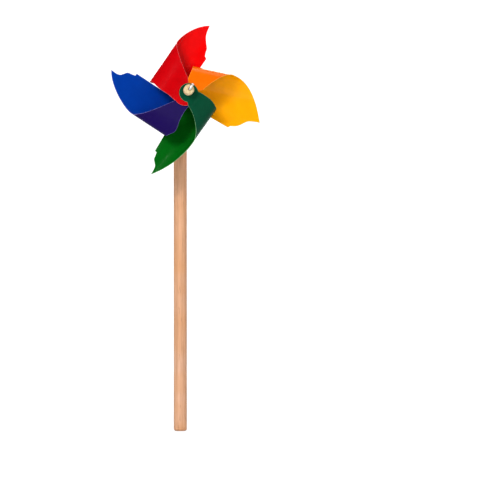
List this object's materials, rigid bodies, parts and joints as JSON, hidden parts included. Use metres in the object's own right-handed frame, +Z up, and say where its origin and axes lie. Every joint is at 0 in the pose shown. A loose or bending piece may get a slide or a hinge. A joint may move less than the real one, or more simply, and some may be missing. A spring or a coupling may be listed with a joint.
{
  "type": "pinwheel",
  "caption": "Hand-held pinwheel: curled plastic blades spin on a wire axle between wooden beads, and the wire is coiled round the top of a wooden stick.",
  "frame": {"origin": "centre of the stick's lower end face", "axes": "+Z up the stick, -Y towards the front of the pinwheel, +X to the right as seen from the front; the axle tilts up 12 degrees towards the front in the YZ plane"},
  "size_m": [0.0903, 0.0445, 0.2464],
  "materials": {
    "stick_wood": "sanded, unvarnished",
    "plated_wire": "bright plated",
    "bead_wood": "turned, unvarnished",
    "red_sheet": "gloss print",
    "yellow_sheet": "gloss print",
    "green_sheet": "gloss print",
    "blue_sheet": "gloss print"
  },
  "bodies": {
    "stand": {"stick": "stick_wood", "axle_wire": "plated_wire"},
    "rotor": {"blade_red": "red_sheet", "blade_yellow": "yellow_sheet", "blade_green": "green_sheet", "blade_blue": "blue_sheet"},
    "rear_bead": {"rear_bead": "bead_wood"},
    "front_bead": {"front_bead": "bead_wood"}
  },
  "joints": [
    {"name": "rotor_spin", "type": "hinge", "parent": "stand", "child": "rotor", "pos_m": [0, 0, 0.2009], "axis": [0, -0.9781, 0.2079], "continuous": true},
    {"name": "rear_bead_spin", "type": "hinge", "parent": "stand", "child": "rear_bead", "pos_m": [0, 0, 0.2009], "axis": [0, -0.9781, 0.2079], "continuous": true},
    {"name": "front_bead_spin", "type": "hinge", "parent": "stand", "child": "front_bead", "pos_m": [0, 0, 0.2009], "axis": [0, -0.9781, 0.2079], "continuous": true}
  ]
}
